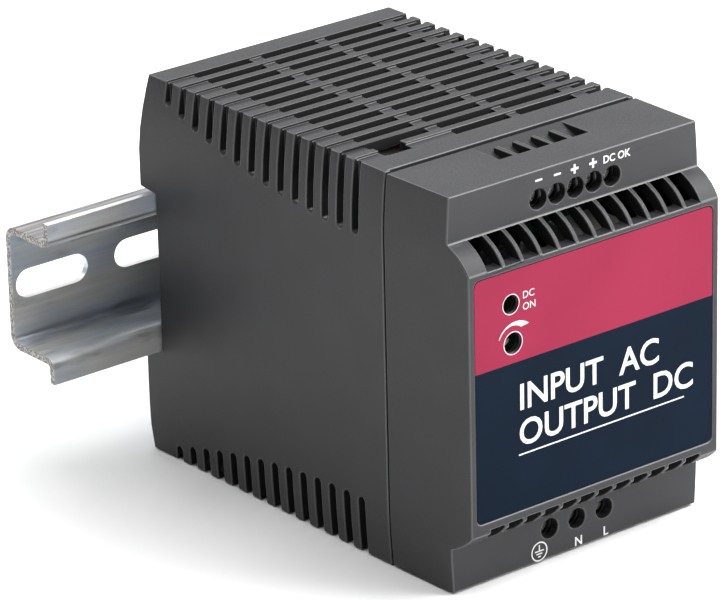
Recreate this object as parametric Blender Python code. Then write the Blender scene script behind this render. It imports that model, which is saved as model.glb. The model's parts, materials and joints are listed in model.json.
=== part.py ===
"""DIN rail power supply, 66 mm wide, clipped on a length of 35 mm top-hat rail.

The design frame has X across the width, Y = 0 at the terminal faces with the rail at +Y, and
Z = 0 at the base. Lengths are in millimetres and become metres in each mesh. Every object
hangs from the empty "datum", which puts the origin under the middle of the whole object.
"""

import math

import bmesh
import bpy
from mathutils import Matrix, Vector

MM = 0.001
GAP = 0.3  # clearance between pieces that rest on each other

# Casing
WIDTH = 66.0
HEIGHT = 82.9
WALL = 2.0
PANEL = -6.15  # depth of the front panel, which stands out between the terminal faces
SEAM = 18.3  # joint between cover and housing
SEAM_GAP = 0.5
TOP_SEAM_GAP = 1.1
REAR = 97.3
LEAN_HEIGHT = 15.0  # the side walls lean in over this height, at the top and at the base
FRONT_INSET = (0.8, 1.45, 1.25)  # how far the side walls stand in: mid height, top, base
SEAM_INSET = (0.0, 1.05, 0.7)
REAR_INSET = (0.0, 1.6, 0.5)
TOP_REAR_SLANT = 2.4
LIP_DEPTH = 2.6  # the housing's inner lip reaches this far into the cover
LIP_THICKNESS = 1.2

# Grille of the housing: rows of openings across the top and the base, one side slot at each end
ROWS = 14
ROW_PITCH = 4.665
FIRST_ROW = 26.95
ROW_WIDTHS = (3.0,) + (2.7,) * 13  # front row to rear row
RIB_RISE = 0.5
WINDOWS = ((-24.5, -10.1), (-7.2, 7.1), (9.4, 24.2))
GROOVE_ENDS = (-31.0, 30.3)
SIDE_SLOT_WIDTH = 2.1
SIDE_SLOT_OFFSET = 0.1
SIDE_SLOT_STARTS = (-30.6, 27.2)
TOP_SLOT_LENGTHS = (15.1, 5.0)  # first row and last row
BASE_SLOT_LENGTHS = (12.2, 3.2)
SERVICE_OPENING = ((-25.4, 25.3), (-18.7, 33.0))
HOUSING_HEIGHTS = (0.0, 2.4, 5.1, 9.93, 15.0, 66.5, 71.2, 75.7, 80.0, 82.9)
INNER_HEIGHTS = (2.0, 6.0, 15.0, 68.0, 76.0, 80.9)

# Cover
COVER_TOP = 82.7
COVER_BASE = 0.35
UPPER_SHOULDER = (73.2, 68.3)  # the shoulder starts and ends at these heights
LOWER_SHOULDER = (9.8, 13.9)
UPPER_BULGE = 0.75
LOWER_BULGE = 0.5
FINS = 11
FIN_PITCH = 4.65
FIN_THICKNESS = 1.05
LOUVRE_LIP = 0.7  # the openings run this far into the panel
LABEL_SIZE = (61.4, 50.4)
LABEL_BASE = 16.5
LABEL_CORNER = 1.4
LABEL_THICKNESS = 0.2
LABEL_RECESS = 0.65
LED_AT = (-21.6, 60.1)
LED_HOLE = 3.9
TRIMMER_AT = (-21.15, 52.0)
TRIMMER_HOLE = 4.4

# Terminals
OUTPUT_X = tuple(0.25 + 4.745 * (i - 2) for i in range(5))
OUTPUT_Z = 76.7
OUTPUT_NAMES = ("minus_1", "minus_2", "plus_1", "plus_2", "dc_ok")
OUTPUT_BAYS = ((-10.8, -7.3), (-6.1, -2.6), (-1.5, 2.1), (3.1, 6.7), (7.9, 12.0))
INPUT_X = tuple(0.15 + 7.18 * (i - 1) for i in range(3))
INPUT_Z = 6.6
INPUT_NAMES = ("earth", "neutral", "line")
INPUT_BAYS = tuple((x - 2.2, x + 2.2) for x in INPUT_X)
SCREW_HOLE = 4.3
BAY_FRONT = 9.5
BAY_THROAT = 12.4
BAY_WALL_END = 15.4
BAY_END = 17.8
BLOCK_FRONT = 2.3
BLOCK_REAR = 16.5
SCREW_FRONT = 2.8
BOARD_THICKNESS = 1.6
TERMINAL_BOARD = 18.3
MAIN_BOARD = 87.8

# Rail
RAIL_LENGTH = 120.0
RAIL_HEIGHT = 35.0
RAIL_CHANNEL = 27.0
RAIL_DEPTH = 15.0
RAIL_SHEET = 1.5
RAIL_MIDDLE = 40.6
RAIL_FRONT = 92.35
RAIL_SLOT = (18.0, 6.2)
RAIL_SLOT_PITCH = 25.0
RAIL_BENDS = (1.5, 2.3, 2.3, 1.5)  # radii at the middle of the sheet, from lip to lip

# Rail seat and latch
SEAT = 92.05
SEAT_TOP = 58.6
SEAT_BASE = 22.5
CAVITY_REAR = 90.05
HOOK_TIP = 55.4
LATCH_TIP = 26.0
LATCH_BASE = 1.2
LATCH_CHANNEL = 8.4  # half width
LATCH_NECK = 6.3
LATCH_REAR = 97.0
SHELF = (93.5, 95.6)  # the channel for the latch's wide part, from front to rear
SPRING_Y = 95.4
SPRING_ENDS = (8.7, 16.6)

DATUM_Y = -(RAIL_FRONT + RAIL_DEPTH + PANEL) / 2


# ---------------------------------------------------------------- scene and shape helpers


def clear_scene():
    for obj in list(bpy.data.objects):
        bpy.data.objects.remove(obj)


def make_material(name, colour, roughness, metallic=0.0):
    made = bpy.data.materials.new(name)
    made.use_nodes = True
    shader = made.node_tree.nodes["Principled BSDF"]
    shader.inputs["Base Color"].default_value = (*colour, 1.0)
    shader.inputs["Roughness"].default_value = roughness
    shader.inputs["Metallic"].default_value = metallic
    return made


def place(obj, origin):
    """Links an object and hangs it from the datum, with its origin at a point of the design frame."""
    bpy.context.scene.collection.objects.link(obj)
    obj.parent = bpy.data.objects.get("datum")
    obj.location = Vector(origin) * MM
    return obj


def add_piece(name, bm, material, origin=(0.0, 0.0, 0.0), smooth_angle=35.0):
    """Makes one sub-part from a mesh in millimetres. A moving one has its origin on its axis."""
    bmesh.ops.recalc_face_normals(bm, faces=bm.faces)
    bmesh.ops.translate(bm, vec=-Vector(origin), verts=bm.verts)
    bmesh.ops.scale(bm, vec=(MM, MM, MM), verts=bm.verts)
    mesh = bpy.data.meshes.new(name)
    bm.to_mesh(mesh)
    bm.free()
    mesh.materials.append(material)
    mesh.shade_smooth()
    mesh.set_sharp_from_angle(angle=math.radians(smooth_angle))
    return place(bpy.data.objects.new(name, mesh), origin)


def combine(obj, bm, operation="DIFFERENCE"):
    """Cuts a mesh out of an object, or joins it on, with a live Boolean."""
    name = f"{obj.name}_tool_{len(obj.modifiers) + 1}"
    tool = add_piece(name, bm, obj.data.materials[0])
    tool.hide_render = True
    tool.display_type = "WIRE"
    modifier = obj.modifiers.new(operation.title(), "BOOLEAN")
    modifier.operation = operation
    modifier.object = tool


def add_box(bm, low, high):
    corners = [bm.verts.new((x, y, z)) for z in (low[2], high[2]) for x, y in
               ((low[0], low[1]), (high[0], low[1]), (high[0], high[1]), (low[0], high[1]))]
    bm.faces.new(corners[3::-1])
    bm.faces.new(corners[4:])
    for i in range(4):
        j = (i + 1) % 4
        bm.faces.new((corners[i], corners[j], corners[j + 4], corners[i + 4]))


def boxes(*spans):
    """A mesh of boxes, each given by its low and high corners."""
    bm = bmesh.new()
    for low, high in spans:
        add_box(bm, low, high)
    return bm


def add_prism(bm, outline, axis, low, high):
    """Extrudes an outline along X (0), Y (1) or Z (2). Its points lie in the plane of the other two axes."""
    others = [i for i in range(3) if i != axis]
    rings = []
    for level in (low, high):
        ring = []
        for a, b in outline:
            at = [0.0, 0.0, 0.0]
            at[axis], at[others[0]], at[others[1]] = level, a, b
            ring.append(bm.verts.new(at))
        rings.append(ring)
    bm.faces.new(rings[0])
    bm.faces.new(rings[1][::-1])
    count = len(outline)
    for i in range(count):
        j = (i + 1) % count
        bm.faces.new((rings[0][i], rings[1][i], rings[1][j], rings[0][j]))


def prism(outline, axis, low, high):
    bm = bmesh.new()
    add_prism(bm, outline, axis, low, high)
    return bm


def circle(centre, radius, sides, phase=0.5):
    return [(centre[0] + radius * math.cos(math.tau * (i + phase) / sides),
             centre[1] + radius * math.sin(math.tau * (i + phase) / sides)) for i in range(sides)]


def stadium(centre, length, width, steps=12):
    """Outline of a slot with round ends, its length along the first axis."""
    points = []
    for end, start in ((1, -90), (-1, 90)):
        middle = centre[0] + end * (length - width) / 2
        for i in range(steps + 1):
            angle = math.radians(start + 180 * i / steps)
            points.append((middle + math.cos(angle) * width / 2, centre[1] + math.sin(angle) * width / 2))
    return points


def rounded_rectangle(low, high, radius, steps=3):
    points = []
    corners = ((high[0] - radius, high[1] - radius, 0), (low[0] + radius, high[1] - radius, 90),
               (low[0] + radius, low[1] + radius, 180), (high[0] - radius, low[1] + radius, 270))
    for x, z, start in corners:
        for i in range(steps + 1):
            angle = math.radians(start + 90 * i / steps)
            points.append((x + radius * math.cos(angle), z + radius * math.sin(angle)))
    return points


def arc_between(start, end, bulge, steps):
    """Inner points of an arc from start to end that bulges to the left of its chord."""
    chord = Vector(end) - Vector(start)
    radius = (chord.length ** 2 / 4 + bulge ** 2) / (2 * bulge)
    along = chord.normalized()
    left = Vector((-along.y, along.x))
    centre = (Vector(start) + Vector(end)) / 2 - left * (radius - bulge)
    half = math.asin(chord.length / 2 / radius)
    points = []
    for i in range(1, steps):
        angle = half * (2 * i / steps - 1)
        points.append(tuple(centre + (left * math.cos(angle) + along * math.sin(angle)) * radius))
    return points


def turned(profile, centre, axis, sides):
    """A solid of revolution. The profile lists (position along the axis, radius), both ends closed."""
    bm = bmesh.new()
    others = [i for i in range(3) if i != axis]
    rings = []
    for along, radius in profile:
        ring = []
        for a, b in circle((centre[others[0]], centre[others[1]]), radius, sides):
            at = [0.0, 0.0, 0.0]
            at[axis], at[others[0]], at[others[1]] = centre[axis] + along, a, b
            ring.append(bm.verts.new(at))
        rings.append(ring)
    bm.faces.new(rings[0])
    bm.faces.new(rings[-1][::-1])
    for low, high in zip(rings, rings[1:]):
        for i in range(sides):
            j = (i + 1) % sides
            bm.faces.new((low[i], high[i], high[j], low[j]))
    return bm


def ring_sweep(centre, axis, section, start, end, segments):
    """Sweeps a section of (radius, position along the axis) loops round an axis, whole turn or part.

    With two loops the second is the hollow inside the first.
    """
    bm = bmesh.new()
    whole = end - start >= 360
    others = [i for i in range(3) if i != axis]
    count = segments if whole else segments + 1
    stations = []
    for step in range(count):
        angle = math.radians(start + (end - start) * step / segments)
        loops = []
        for loop in section:
            ring = []
            for radius, along in loop:
                at = [0.0, 0.0, 0.0]
                at[axis] = centre[axis] + along
                at[others[0]] = centre[others[0]] + radius * math.cos(angle)
                at[others[1]] = centre[others[1]] + radius * math.sin(angle)
                ring.append(bm.verts.new(at))
            loops.append(ring)
        stations.append(loops)
    pairs = list(zip(stations, stations[1:]))
    if whole:
        pairs.append((stations[-1], stations[0]))
    for first, second in pairs:
        for ring_a, ring_b in zip(first, second):
            for i in range(len(ring_a)):
                j = (i + 1) % len(ring_a)
                bm.faces.new((ring_a[i], ring_a[j], ring_b[j], ring_b[i]))
    if not whole:
        for loops in (stations[0], stations[-1]):
            if len(loops) == 1:
                bm.faces.new(loops[0])
            else:
                outer, inner = loops
                for i in range(len(outer)):
                    j = (i + 1) % len(outer)
                    bm.faces.new((outer[i], outer[j], inner[j], inner[i]))
    return bm


def rectangle_loop(r_low, r_high, a_low, a_high):
    return [(r_low, a_low), (r_high, a_low), (r_high, a_high), (r_low, a_high)]


# ---------------------------------------------------------------- casing


def half_width(y, z, wall=0.0):
    """Half the casing's width inside a wall, from the lean of its side walls."""
    if y < SEAM:
        share, other = (SEAM - y) / (SEAM - PANEL), FRONT_INSET
    else:
        share, other = (y - SEAM) / (REAR - SEAM), REAR_INSET
    middle, top, base = (a + (b - a) * share for a, b in zip(SEAM_INSET, other))
    top_lean = max(0.0, z - HEIGHT + LEAN_HEIGHT) / LEAN_HEIGHT
    base_lean = max(0.0, LEAN_HEIGHT - z) / LEAN_HEIGHT
    inset = middle + (top - middle) * top_lean ** 2 + (base - middle) * base_lean ** 2
    return WIDTH / 2 - wall - inset


def casing_block(rows, wall=0.0):
    """A closed block whose width follows the casing. Each row is (height, front depth, rear depth)."""
    bm = bmesh.new()
    rings = []
    for z, front, rear in rows:
        ring = []
        for side, y in ((-1, front), (1, front), (1, rear), (-1, rear)):
            ring.append(bm.verts.new((side * half_width(y, z, wall), y, z)))
        rings.append(ring)
    bm.faces.new(rings[0][::-1])
    bm.faces.new(rings[-1])
    for low, high in zip(rings, rings[1:]):
        for i in range(4):
            j = (i + 1) % 4
            bm.faces.new((low[i], low[j], high[j], high[i]))
    return bm


def row_span(row):
    """Where an opening of this row of the grille starts and ends, front to rear."""
    middle = FIRST_ROW + ROW_PITCH * row
    return middle - ROW_WIDTHS[row] / 2, middle + ROW_WIDTHS[row] / 2


def housing_rear(z):
    """Depth of the housing's rear wall, which leans forward at the top and a little at the base."""
    top = max(0.0, z - HEIGHT + LEAN_HEIGHT) / LEAN_HEIGHT
    base = max(0.0, 5.0 - z) / 5.0
    return REAR - TOP_REAR_SLANT * top - 0.7 * base


def grille_grooves(top):
    spans = []
    low, high = (HEIGHT - RIB_RISE, HEIGHT + 1) if top else (-1, RIB_RISE)
    for row in range(ROWS):
        near, far = row_span(row)
        spans.append(((GROOVE_ENDS[0], near, low), (GROOVE_ENDS[1], far, high)))
    return boxes(*spans)


def grille_windows(top):
    spans = []
    low, high = (HEIGHT - WALL - 1, HEIGHT - RIB_RISE / 2) if top else (RIB_RISE / 2, WALL + 1)
    for row in range(ROWS):
        near, far = row_span(row)
        for left, right in WINDOWS:
            if top and row == 0 and left == WINDOWS[0][0]:
                continue  # a plain pad and the service opening take this place
            spans.append(((left, near, low), (right, far, high)))
    return boxes(*spans)


def side_slots(top):
    """Slots in both side walls, open at the edge and round at their inner end, shorter to the rear."""
    bm = bmesh.new()
    lengths = TOP_SLOT_LENGTHS if top else BASE_SLOT_LENGTHS
    radius = SIDE_SLOT_WIDTH / 2
    for row in range(ROWS):
        length = lengths[0] - (lengths[0] - lengths[1]) * (row / (ROWS - 1)) ** 2
        y = FIRST_ROW + ROW_PITCH * row + SIDE_SLOT_OFFSET
        if top:
            middle, turn = HEIGHT - length + radius, 180
            outline = [(y + radius, HEIGHT + 1), (y - radius, HEIGHT + 1)]
        else:
            middle, turn = length - radius, 0
            outline = [(y - radius, -1), (y + radius, -1)]
        for i in range(6):
            angle = math.radians(turn + 180 * i / 5)
            outline.append((y + radius * math.cos(angle), middle + radius * math.sin(angle)))
        add_prism(bm, outline, 0, -WIDTH / 2 - 2, SIDE_SLOT_STARTS[0])
        add_prism(bm, outline, 0, SIDE_SLOT_STARTS[1], WIDTH / 2 + 2)
    return bm


def rim_block(near, far, wall, inset):
    """A block that follows the casing inside a wall, and stands in by an inset at the top and the base."""
    heights = (WALL + inset, 8.0, LEAN_HEIGHT, 68.0, 76.0, HEIGHT - WALL - inset)
    return casing_block([(z, near, far) for z in heights], wall)


def make_inner_lip(housing, front):
    """A rim that reaches into the cover, on a collar that ties it to the housing's walls."""
    clear = GAP + 0.2
    combine(housing, rim_block(front - LIP_DEPTH, front + 2, WALL + GAP, clear), "UNION")
    combine(housing, rim_block(front + 0.8, front + 3, WALL - 0.5, -0.5), "UNION")
    bore = WALL + GAP + LIP_THICKNESS
    combine(housing, rim_block(front - LIP_DEPTH - 1, front + 4, bore, clear + LIP_THICKNESS))


def make_rail_seat(housing):
    """The notch for the rail, pockets that keep the rear wall thin round it, and the fixed hook above."""
    combine(housing, boxes(
        ((-28.5, CAVITY_REAR - 1, SEAT_TOP + 2.3), (28.5, 93.0, HEIGHT - WALL)),
        ((-30.0, CAVITY_REAR - 1, WALL), (-11.5, 94.8, SEAT_BASE - 2.2)),
        ((11.5, CAVITY_REAR - 1, WALL), (30.0, 94.8, SEAT_BASE - 2.2)),
    ))
    notch = ((SEAT, SEAT_BASE), (REAR + 1, SEAT_BASE), (REAR + 1, SEAT_TOP), (SEAT, SEAT_TOP - 0.5))
    combine(housing, prism(notch, 0, -WIDTH, WIDTH))
    hook_front = RAIL_FRONT + RAIL_SHEET + GAP
    combine(housing, boxes(((-22, hook_front, HOOK_TIP), (22, REAR - 0.6, SEAT_TOP + 1))), "UNION")


def make_latch_channel(housing):
    """A T-shaped channel for the latch, with the peg that the spring stands on."""
    combine(housing, boxes(((-LATCH_CHANNEL, SHELF[0], -1), (LATCH_CHANNEL, SHELF[1], SEAT_BASE + 1))))
    combine(housing, boxes(((-LATCH_NECK, SHELF[1] - 0.6, -1), (LATCH_NECK, REAR + 1, SEAT_BASE + 1))))
    peg = ((-1.5, SHELF[0] - 0.5, 6.8), (1.5, SPRING_Y + 1.0, SPRING_ENDS[0] - 0.5))
    combine(housing, boxes(peg), "UNION")


def make_rear_housing(plastic):
    front = SEAM + SEAM_GAP / 2
    shell = casing_block([(z, front, housing_rear(z)) for z in HOUSING_HEIGHTS])
    housing = add_piece("rear_housing", shell, plastic)
    combine(housing, casing_block([(z, front - 5, CAVITY_REAR) for z in INNER_HEIGHTS], WALL))
    make_rail_seat(housing)
    make_latch_channel(housing)
    make_inner_lip(housing, front)
    seam_half = WIDTH / 2 - 2.4
    combine(housing, boxes(((-seam_half, SEAM - 1, HEIGHT - WALL + 0.02),
                            (seam_half, SEAM - SEAM_GAP / 2 + TOP_SEAM_GAP, HEIGHT + 1))))
    for top in (True, False):
        combine(housing, grille_grooves(top))
        combine(housing, grille_windows(top))
        combine(housing, side_slots(top))
    (left, near), (right, far) = SERVICE_OPENING
    combine(housing, boxes(((left, near, HEIGHT - WALL - 1.5), (right, far, HEIGHT + 1.5))))


def cover_profile():
    """Front outline of the cover from base to top, as (depth, height)."""
    lower = [(0.0, LOWER_SHOULDER[0]), (PANEL, LOWER_SHOULDER[1])]
    upper = [(PANEL, UPPER_SHOULDER[1]), (0.0, UPPER_SHOULDER[0])]
    points = [(0.0, COVER_BASE), (0.0, 4.0), (0.0, 7.0), lower[0]]
    points += arc_between(*lower, LOWER_BULGE, 4)
    points += [lower[1], upper[0]]
    points += arc_between(*upper, UPPER_BULGE, 5)
    points += [upper[1], (0.0, 76.5), (0.0, 79.8), (0.0, COVER_TOP)]
    return points


def louvre_openings():
    """Spans across the width of the openings between the end blocks and the fins."""
    half = (FIN_PITCH - FIN_THICKNESS) / 2
    middles = [FIN_PITCH * (i - FINS / 2) for i in range(FINS + 1)]
    return [(middle - half, middle + half) for middle in middles]


def wire_bays(bays, top):
    """Cutters for the wire entries: a trough along the seam, and a throat with a sloped floor in each bay."""
    sign, edge = (1, COVER_TOP) if top else (-1, COVER_BASE)
    outside, step, floor, inside = edge + sign, edge - 0.95 * sign, edge - 2.1 * sign, edge - 5 * sign
    start = BAY_WALL_END - 0.02
    trough = [(start, outside), (BAY_END, outside), (BAY_END, edge), (start, step)]
    throat = [(BAY_FRONT, outside), (BAY_WALL_END, outside), (BAY_WALL_END, step),
              (BAY_THROAT, floor), (BAY_THROAT, inside), (BAY_FRONT, inside)]
    throats = bmesh.new()
    for left, right in bays:
        add_prism(throats, throat, 0, left, right)
    return [prism(trough, 0, bays[0][0], bays[-1][1]), throats]


def screw_holes():
    bm = bmesh.new()
    for places, z in ((OUTPUT_X, OUTPUT_Z), (INPUT_X, INPUT_Z)):
        for x in places:
            add_prism(bm, circle((x, z), SCREW_HOLE / 2, 20), 1, -1, WALL + 1)
    return bm


def panel_holes():
    """Cutters for the indicator and the trimmer, long enough for both the cover and its label."""
    bm = bmesh.new()
    for centre, size in ((LED_AT, LED_HOLE), (TRIMMER_AT, TRIMMER_HOLE)):
        add_prism(bm, circle(centre, size / 2, 20), 1, PANEL - 1, PANEL + WALL + 1)
    return bm


def louvre_cutters():
    spans = []
    for low, high in ((UPPER_SHOULDER[1] - 0.05, UPPER_SHOULDER[0] - 0.1),
                      (LOWER_SHOULDER[0] + 0.1, LOWER_SHOULDER[1] + LOUVRE_LIP)):
        for left, right in louvre_openings():
            spans.append(((left, PANEL - 1, low), (right, WALL + 0.6, high)))
    return boxes(*spans)


def wire_guides():
    """Solid blocks under the wire entries, for their throats to be cut through."""
    (output_left, output_right), (input_left, input_right) = (
        (bays[0][0] - 1.2, bays[-1][1] + 1.2) for bays in (OUTPUT_BAYS, INPUT_BAYS))
    return boxes(((output_left, 8.3, COVER_TOP - 3.4), (output_right, 15.2, COVER_TOP - 1)),
                 ((input_left, 8.3, COVER_BASE + 1), (input_right, 15.2, COVER_BASE + 3.35)))


def make_front_cover(plastic):
    rear = SEAM - SEAM_GAP / 2
    cover = add_piece("front_cover", casing_block([(z, y, rear) for y, z in cover_profile()]), plastic)
    inner = ((WALL, WALL), (WALL, 7.0), (WALL, 11.3), (PANEL + WALL, 15.6), (PANEL + WALL, 67.5),
             (WALL, 71.5), (WALL, 76.5), (WALL, COVER_TOP - WALL))
    combine(cover, casing_block([(z, y, rear + 5) for y, z in inner], WALL))
    combine(cover, wire_guides(), "UNION")
    for cutter in wire_bays(OUTPUT_BAYS, True) + wire_bays(INPUT_BAYS, False):
        combine(cover, cutter)
    combine(cover, screw_holes())
    combine(cover, louvre_cutters())
    half, low, high = LABEL_SIZE[0] / 2 + 0.15, LABEL_BASE - 0.15, LABEL_BASE + LABEL_SIZE[1] + 0.15
    recess = rounded_rectangle((-half, low), (half, high), LABEL_CORNER)
    combine(cover, prism(recess, 1, PANEL - 1, PANEL + LABEL_RECESS))
    combine(cover, panel_holes())


def make_front_label(film):
    half = LABEL_SIZE[0] / 2
    outline = rounded_rectangle((-half, LABEL_BASE), (half, LABEL_BASE + LABEL_SIZE[1]), LABEL_CORNER)
    front = PANEL + LABEL_RECESS - GAP - LABEL_THICKNESS
    label = add_piece("front_label", prism(outline, 1, front, front + LABEL_THICKNESS), film)
    combine(label, panel_holes())


# ---------------------------------------------------------------- rail, latch and spring


def bent_strip(points, radii, thickness, steps=6):
    """Outline of a sheet of this thickness, bent along a path with an arc at each corner."""
    path = [Vector(p) for p in points]
    sides = ([], [])
    first = (path[1] - path[0]).normalized()
    stations = [(path[0], Vector((-first.y, first.x)))]
    for before, corner, after, radius in zip(path, path[1:], path[2:], radii):
        come, go = (corner - before).normalized(), (after - corner).normalized()
        turn = 1 if come.x * go.y - come.y * go.x > 0 else -1
        start = corner - come * radius
        middle = start + Vector((-come.y, come.x)) * turn * radius
        for i in range(steps + 1):
            spin = Matrix.Rotation(turn * math.pi / 2 * i / steps, 2)
            stations.append((middle + spin @ (start - middle), spin @ Vector((-come.y, come.x))))
    last = (path[-1] - path[-2]).normalized()
    stations.append((path[-1], Vector((-last.y, last.x))))
    for at, normal in stations:
        sides[0].append(tuple(at + normal * thickness / 2))
        sides[1].append(tuple(at - normal * thickness / 2))
    return sides[0] + sides[1][::-1]


def make_din_rail(steel):
    lip = RAIL_FRONT + RAIL_SHEET / 2
    web = RAIL_FRONT + RAIL_DEPTH - RAIL_SHEET / 2
    half = RAIL_HEIGHT / 2
    flank = (RAIL_CHANNEL - RAIL_SHEET) / 2
    path = [(lip, half), (lip, flank), (web, flank), (web, -flank), (lip, -flank), (lip, -half)]
    path = [(y, z + RAIL_MIDDLE) for y, z in path]
    outline = bent_strip(path, RAIL_BENDS, RAIL_SHEET)
    origin = (0.0, RAIL_FRONT + RAIL_DEPTH / 2, RAIL_MIDDLE)
    rail = add_piece("din_rail", prism(outline, 0, -RAIL_LENGTH / 2, RAIL_LENGTH / 2), steel, origin, 20)
    bm = bmesh.new()
    for i in range(-2, 3):
        slot = stadium((i * RAIL_SLOT_PITCH, RAIL_MIDDLE), *RAIL_SLOT)
        add_prism(bm, slot, 1, web - 2, web + 2)
    combine(rail, bm)


def make_din_latch(plastic):
    """The sprung foot latch: a T-shaped slider with a hook for the rail's lower lip."""
    base_half, neck_half = LATCH_CHANNEL - GAP, LATCH_NECK - GAP
    front, shelf = SHELF[0] + GAP, SHELF[1] - 0.4
    hook = RAIL_FRONT + RAIL_SHEET + GAP
    latch = add_piece("din_latch", boxes(((-base_half, front, LATCH_BASE), (base_half, shelf, 21.0))),
                      plastic, (0.0, shelf, LATCH_BASE))
    profile = [(front + 0.5, LATCH_BASE), (LATCH_REAR, LATCH_BASE), (LATCH_REAR, LATCH_TIP - 2.4),
               (hook + 0.6, LATCH_TIP), (hook, LATCH_TIP), (hook, 20.0), (front + 0.5, 20.0)]
    combine(latch, prism(profile, 0, -neck_half, neck_half), "UNION")
    spring_window = ((-2.0, 90, 6.4), (2.0, 99, SPRING_ENDS[1] + GAP))
    tool_slot = ((-3.2, 90, 2.4), (3.2, 99, 4.2))
    combine(latch, boxes(spring_window, tool_slot))


def make_latch_spring(steel):
    """Compression spring in the latch's window, from the housing's peg up to the latch."""
    turns, per_turn, radius, wire = 6, 8, 1.1, 0.19
    low, high = SPRING_ENDS
    curve = bpy.data.curves.new("latch_spring", "CURVE")
    curve.dimensions = "3D"
    curve.bevel_depth = wire * MM
    curve.bevel_resolution = 1
    curve.use_fill_caps = True
    spline = curve.splines.new("POLY")
    spline.points.add(turns * per_turn)
    for i, point in enumerate(spline.points):
        share = i / (turns * per_turn)
        angle = math.tau * turns * share
        z = low + wire + (high - low - 2 * wire) * share
        point.co = (*(Vector((radius * math.cos(angle), radius * math.sin(angle), z - low)) * MM), 1.0)
    curve.materials.append(steel)
    place(bpy.data.objects.new("latch_spring", curve), (0.0, SPRING_Y, low))


# ---------------------------------------------------------------- terminals


def mirrored(z, side, *heights):
    """Heights measured from a screw's axis towards the wire entry, which is up or down."""
    return sorted(z + side * h for h in heights)


def make_terminal_block(name, places, z, side, reach, plastic):
    """A row of screw terminals. Wires enter from the side (1 up, -1 down) and screws face the front."""
    low, high = mirrored(z, side, -5.7, 2.3)
    body = boxes(((places[0] - reach, BLOCK_FRONT, low), (places[-1] + reach, BLOCK_REAR, high)))
    block = add_piece(name, body, plastic)
    chambers, feet, drops, bores, necks = [], [], [], bmesh.new(), bmesh.new()
    for x in places:
        low, high = mirrored(z, side, -2.6, 3.3)
        chambers.append(((x - 1.95, 6.1, low), (x + 1.95, 14.4, high)))
        low, high = mirrored(z, side, -6.7, -4.0)
        feet.append(((x - 1.3, 9.4, low), (x + 1.3, BLOCK_REAR + 1, high)))
        low, high = mirrored(z, side, -4.4, -2.2)
        drops.append(((x - 1.3, 9.4, low), (x + 1.3, 10.7, high)))
        add_prism(bores, circle((x, z), 2.05, 14), 1, BLOCK_FRONT - 1, 4.9)
        add_prism(necks, circle((x, z), 1.35, 12), 1, 4.0, 7.0)
    combine(block, boxes(*chambers))
    combine(block, bores)
    combine(block, necks)
    combine(block, boxes(*feet))
    combine(block, boxes(*drops))


def make_terminal_screw(name, x, z, metal):
    head = [(0.0, 1.55), (0.25, 1.8), (1.6, 1.8), (1.7, 1.1), (6.3, 1.1), (6.6, 0.8)]
    screw = add_piece(name, turned(head, (x, SCREW_FRONT, z), 1, 12), metal, (x, SCREW_FRONT, z))
    combine(screw, boxes(((x - 0.3, 2.0, z - 2.5), (x + 0.3, 3.5, z + 2.5))))


def make_terminal_clamp(name, x, z, side, metal):
    """The cage that the screw pulls to the front, closing the wire against the contact."""
    low, high = mirrored(z, side, -2.2, 2.0)
    clamp = add_piece(name, boxes(((x - 1.7, 8.4, low), (x + 1.7, 14.0, high))), metal, (x, 11.2, z))
    combine(clamp, boxes(((x - 1.25, 9.4, low - 1), (x + 1.25, 13.0, high + 1))))
    combine(clamp, prism(circle((x, z), 1.25, 10), 1, 8.0, 9.9))


def make_terminal_contact(name, x, z, side, metal):
    """The current bar inside the cage, with its foot running back to the board."""
    heights = [z + side * h for h in (-5.4, -4.7, 1.7)]
    outline = [(9.7, heights[0]), (TERMINAL_BOARD - GAP, heights[0]), (TERMINAL_BOARD - GAP, heights[1]),
               (10.4, heights[1]), (10.4, heights[2]), (9.7, heights[2])]
    add_piece(name, prism(outline, 0, x - 1.0, x + 1.0), metal)


def make_terminals(plastic, screw_metal, clamp_metal, contact_metal):
    for group, names, places, z, side, reach in (
        ("output", OUTPUT_NAMES, OUTPUT_X, OUTPUT_Z, 1, 2.5),
        ("input", INPUT_NAMES, INPUT_X, INPUT_Z, -1, 3.4),
    ):
        make_terminal_block(f"{group}_terminal_block", places, z, side, reach, plastic)
        for label, x in zip(names, places):
            make_terminal_screw(f"{label}_screw", x, z, screw_metal)
            make_terminal_clamp(f"{label}_clamp", x, z, side, clamp_metal)
            make_terminal_contact(f"{label}_contact", x, z, side, contact_metal)


# ---------------------------------------------------------------- boards and what they carry


def make_boards(laminate):
    terminal = boxes(((-27.4, TERMINAL_BOARD, 5.0), (27.4, TERMINAL_BOARD + BOARD_THICKNESS, 77.5)))
    main_board = boxes(((-28.0, MAIN_BOARD, 3.5), (28.0, MAIN_BOARD + BOARD_THICKNESS, 78.5)))
    add_piece("terminal_board", terminal, laminate)
    add_piece("main_board", main_board, laminate)
    add_piece("riser_board", boxes(((28.6, 22.0, 20.0), (30.0, 88.5, 66.0))), laminate)


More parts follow.
